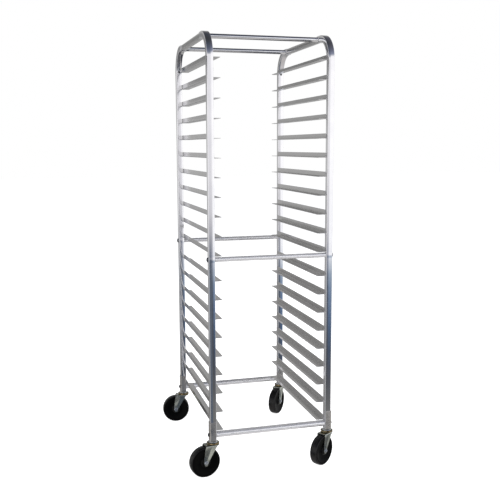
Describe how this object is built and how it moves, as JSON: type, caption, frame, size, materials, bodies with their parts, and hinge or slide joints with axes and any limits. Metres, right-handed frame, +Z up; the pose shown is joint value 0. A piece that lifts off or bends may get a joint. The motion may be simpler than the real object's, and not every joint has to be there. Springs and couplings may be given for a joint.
{
  "type": "sheet pan rack",
  "caption": "Tall open mobile rack with bent square-tube uprights, angle runners that hold sheet pans, round crossbars and swivel casters.",
  "frame": {"origin": "on the floor at the centre of the bounding box, which lies 36 mm left and 17 mm in front of the middle of the frame because the casters trail that way at rest", "axes": "+Z up, -Y towards the front that pans enter by, +X to the right"},
  "size_m": [0.6166, 0.7476, 1.76],
  "materials": {
    "upright_aluminium": "bright mill-finish square tube",
    "runner_aluminium": "mill-finish extruded angle",
    "crossbar_aluminium": "bright drawn round bar",
    "caster_steel": "zinc-plated pressed steel",
    "wheel_rubber": "black moulded tread"
  },
  "bodies": {
    "rack": {"upright_front_left": "upright_aluminium", "upright_front_right": "upright_aluminium", "upright_rear_left": "upright_aluminium", "upright_rear_right": "upright_aluminium", "top_rail_left": "runner_aluminium", "top_rail_right": "runner_aluminium", "crossbar_top_front": "crossbar_aluminium", "crossbar_top_rear": "crossbar_aluminium", "crossbar_middle_front": "crossbar_aluminium", "crossbar_middle_rear": "crossbar_aluminium", "crossbar_bottom_front": "crossbar_aluminium", "crossbar_bottom_rear": "crossbar_aluminium", "runner_left_01": "runner_aluminium", "runner_left_02": "runner_aluminium", "runner_left_03": "runner_aluminium", "runner_left_04": "runner_aluminium", "runner_left_05": "runner_aluminium", "runner_left_06": "runner_aluminium", "runner_left_07": "runner_aluminium", "runner_left_08": "runner_aluminium", "runner_left_09": "runner_aluminium", "runner_left_10": "runner_aluminium", "runner_left_11": "runner_aluminium", "runner_left_12": "runner_aluminium", "runner_left_13": "runner_aluminium", "runner_left_14": "runner_aluminium", "runner_left_15": "runner_aluminium", "runner_left_16": "runner_aluminium", "runner_left_17": "runner_aluminium", "runner_left_18": "runner_aluminium", "runner_left_19": "runner_aluminium", "runner_left_20": "runner_aluminium", "runner_right_01": "runner_aluminium", "runner_right_02": "runner_aluminium", "runner_right_03": "runner_aluminium", "runner_right_04": "runner_aluminium", "runner_right_05": "runner_aluminium", "runner_right_06": "runner_aluminium", "runner_right_07": "runner_aluminium", "runner_right_08": "runner_aluminium", "runner_right_09": "runner_aluminium", "runner_right_10": "runner_aluminium", "runner_right_11": "runner_aluminium", "runner_right_12": "runner_aluminium", "runner_right_13": "runner_aluminium", "runner_right_14": "runner_aluminium", "runner_right_15": "runner_aluminium", "runner_right_16": "runner_aluminium", "runner_right_17": "runner_aluminium", "runner_right_18": "runner_aluminium", "runner_right_19": "runner_aluminium", "runner_right_20": "runner_aluminium"},
    "caster_front_left": {"caster_fork_front_left": "caster_steel"},
    "caster_front_right": {"caster_fork_front_right": "caster_steel"},
    "caster_rear_left": {"caster_fork_rear_left": "caster_steel"},
    "caster_rear_right": {"caster_fork_rear_right": "caster_steel"},
    "wheel_front_left": {"caster_wheel_front_left": "wheel_rubber"},
    "wheel_front_right": {"caster_wheel_front_right": "wheel_rubber"},
    "wheel_rear_left": {"caster_wheel_rear_left": "wheel_rubber"},
    "wheel_rear_right": {"caster_wheel_rear_right": "wheel_rubber"}
  },
  "joints": [
    {"name": "swivel_front_left", "type": "hinge", "parent": "rack", "child": "caster_front_left", "pos_m": [-0.20811, -0.30639, 0.145], "axis": [0, 0, 1], "continuous": true},
    {"name": "roll_front_left", "type": "hinge", "parent": "caster_front_left", "child": "wheel_front_left", "pos_m": [-0.2447, -0.31185, 0.0625], "axis": [0.1478, -0.989, 0], "continuous": true},
    {"name": "swivel_front_right", "type": "hinge", "parent": "rack", "child": "caster_front_right", "pos_m": [0.28049, -0.30639, 0.145], "axis": [0, 0, 1], "continuous": true},
    {"name": "roll_front_right", "type": "hinge", "parent": "caster_front_right", "child": "wheel_front_right", "pos_m": [0.25, -0.32734, 0.0625], "axis": [0.5664, -0.8241, 0], "continuous": true},
    {"name": "swivel_rear_left", "type": "hinge", "parent": "rack", "child": "caster_rear_left", "pos_m": [-0.20811, 0.34121, 0.145], "axis": [0, 0, 1], "continuous": true},
    {"name": "roll_rear_left", "type": "hinge", "parent": "caster_rear_left", "child": "wheel_rear_left", "pos_m": [-0.24474, 0.34636, 0.0625], "axis": [-0.1392, -0.9903, 0], "continuous": true},
    {"name": "swivel_rear_right", "type": "hinge", "parent": "rack", "child": "caster_rear_right", "pos_m": [0.28049, 0.34121, 0.145], "axis": [0, 0, 1], "continuous": true},
    {"name": "roll_rear_right", "type": "hinge", "parent": "caster_rear_right", "child": "wheel_rear_right", "pos_m": [0.25574, 0.31372, 0.0625], "axis": [0.7431, -0.6691, 0], "continuous": true}
  ]
}
